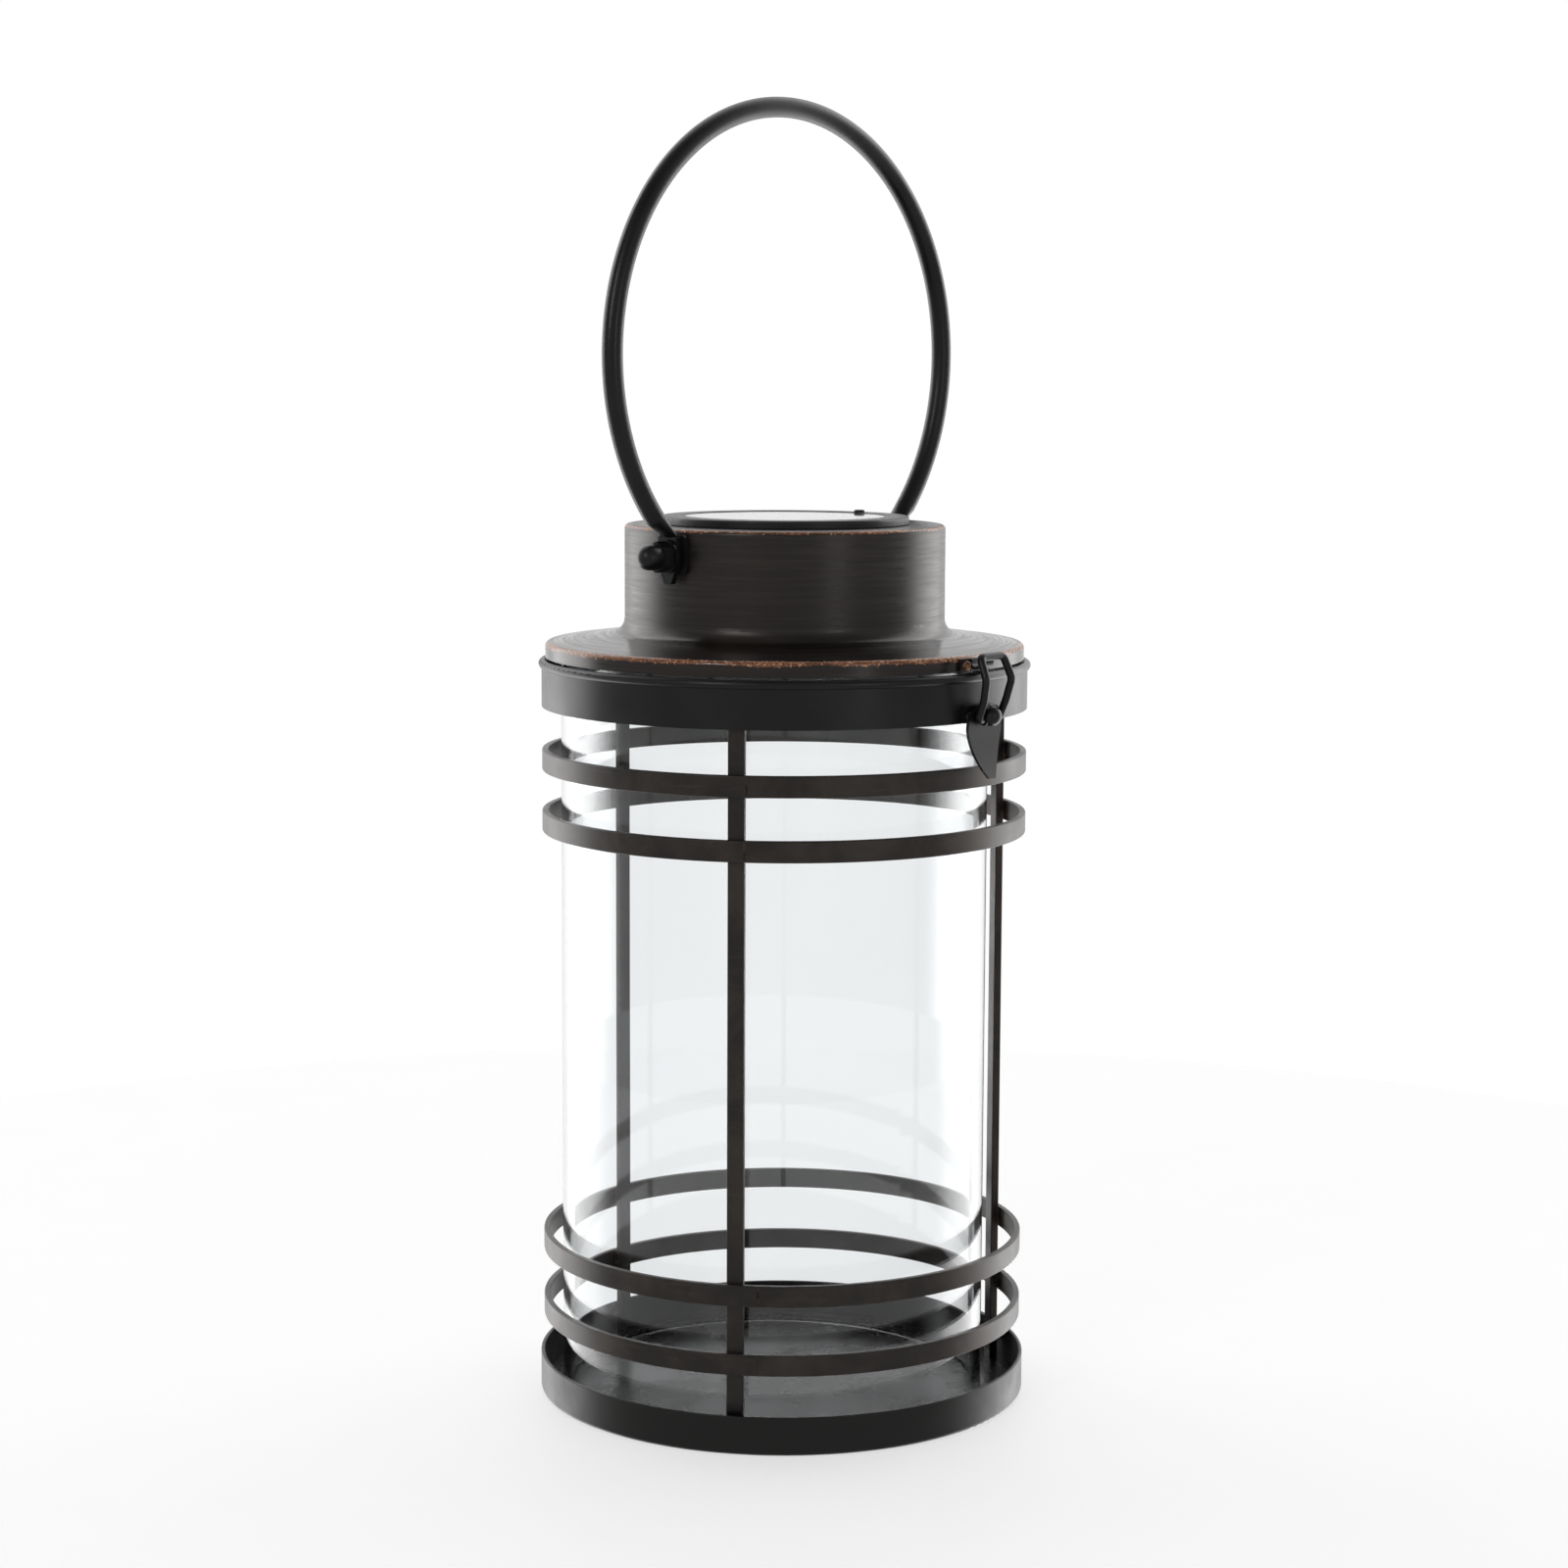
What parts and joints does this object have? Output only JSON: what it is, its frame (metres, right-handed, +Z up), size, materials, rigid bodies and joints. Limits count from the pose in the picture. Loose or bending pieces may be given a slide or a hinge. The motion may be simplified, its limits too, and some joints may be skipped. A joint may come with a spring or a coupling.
{
  "type": "solar lantern",
  "caption": "Round metal cage lantern with a clear glass cylinder, hinged lid holding a solar light module, draw latch and swinging bail handle.",
  "frame": {"origin": "centre of the base pan's flat underside, where the lantern rests", "axes": "+Z up along the lantern's axis; -Y towards the latch, +Y towards the lid hinge; the handle pivots on the X axis direction"},
  "size_m": [0.1592, 0.1658, 0.4011],
  "materials": {
    "aged_metal": "dark oil-rubbed brown-black, satin, faint brushed wear",
    "black_metal": "satin black, slightly bluish",
    "spun_metal": "dark bronze, circular brushing, copper-worn edges",
    "worn_rivet": "dark rivet head worn to copper",
    "clear_glass": "clear, polished",
    "clear_window": "clear glossy window",
    "black_rubber": "matte black",
    "black_plastic": "fine moulded texture",
    "button_rubber": "soft matte black",
    "solar_silicon": "dark blue-black silicon with thin silver lines",
    "board_green": "green lacquered board",
    "battery_wrap": "plain wrap, no lettering",
    "plated_steel": "bright plated",
    "lead_red": "insulated lead",
    "led_lens": "clear warm-white lamp lens",
    "reflector_chrome": "bright reflector"
  },
  "bodies": {
    "body": {"base_pan": "aged_metal", "cage_ring_1": "aged_metal", "cage_ring_2": "aged_metal", "cage_ring_3": "aged_metal", "cage_ring_4": "aged_metal", "upright_left": "aged_metal", "upright_right": "aged_metal", "upright_rear": "aged_metal", "collar": "black_metal", "glass_retainer": "black_metal", "glass_cylinder": "clear_glass", "hinge_leaf_collar": "black_metal", "hinge_pin": "black_metal", "hinge_collar_rivets": "black_metal", "latch_base": "black_metal", "latch_rivets": "black_metal", "latch_pin": "black_metal"},
    "lid": {"lid_shell": "spun_metal", "lid_gasket": "black_rubber", "hinge_leaf_lid": "black_metal", "hinge_lid_rivets": "worn_rivet", "latch_catch": "black_metal", "catch_rivets": "worn_rivet", "pivot_lugs": "black_metal", "pivot_bolts": "plated_steel", "pivot_washers": "black_metal", "cap_nuts": "black_metal", "solar_housing": "black_plastic", "module_gasket": "black_rubber", "retaining_ring": "black_plastic", "solar_bezel": "black_plastic", "panel_window": "clear_window", "solar_cell": "solar_silicon", "circuit_board": "board_green", "tact_switch": "black_plastic", "battery": "battery_wrap", "battery_contacts": "plated_steel", "battery_spring": "plated_steel", "led_leads": "plated_steel", "panel_leads": "lead_red", "housing_base": "black_plastic", "housing_screws": "plated_steel", "led": "led_lens", "led_reflector": "reflector_chrome"},
    "bail": {"bail_handle": "black_metal"},
    "latch_lever": {"latch_lever": "black_metal"},
    "latch_loop": {"latch_loop": "black_metal"},
    "power_button": {"power_button": "button_rubber"},
    "battery_cover": {"battery_cover": "black_plastic"}
  },
  "joints": [
    {"name": "lid_hinge", "type": "hinge", "parent": "body", "child": "lid", "pos_m": [0, 0.079, 0.2306], "axis": [-1, 0, 0], "range_deg": [0, 100]},
    {"name": "bail_swing", "type": "hinge", "parent": "lid", "child": "bail", "pos_m": [0, 0, 0.264], "axis": [1, 0, 0], "range_deg": [-125, 125]},
    {"name": "latch_lever", "type": "hinge", "parent": "body", "child": "latch_lever", "pos_m": [0, -0.0802, 0.2204], "axis": [-1, 0, 0], "range_deg": [0, 115]},
    {"name": "latch_loop", "type": "hinge", "parent": "latch_lever", "child": "latch_loop", "pos_m": [0, -0.07985, 0.2173], "axis": [1, 0, 0], "range_deg": [0, 127]},
    {"name": "power_button", "type": "slide", "parent": "lid", "child": "power_button", "axis": [0, 0, -1], "range_m": [0, 0.0008], "stiffness_N_per_m": 400},
    {"name": "battery_cover", "type": "slide", "parent": "lid", "child": "battery_cover", "axis": [0, 0, -1], "range_m": [0, 0.02]}
  ],
  "couplings": [
    {"joint": "latch_loop", "follows": "latch_lever", "ratio": 1.1}
  ]
}
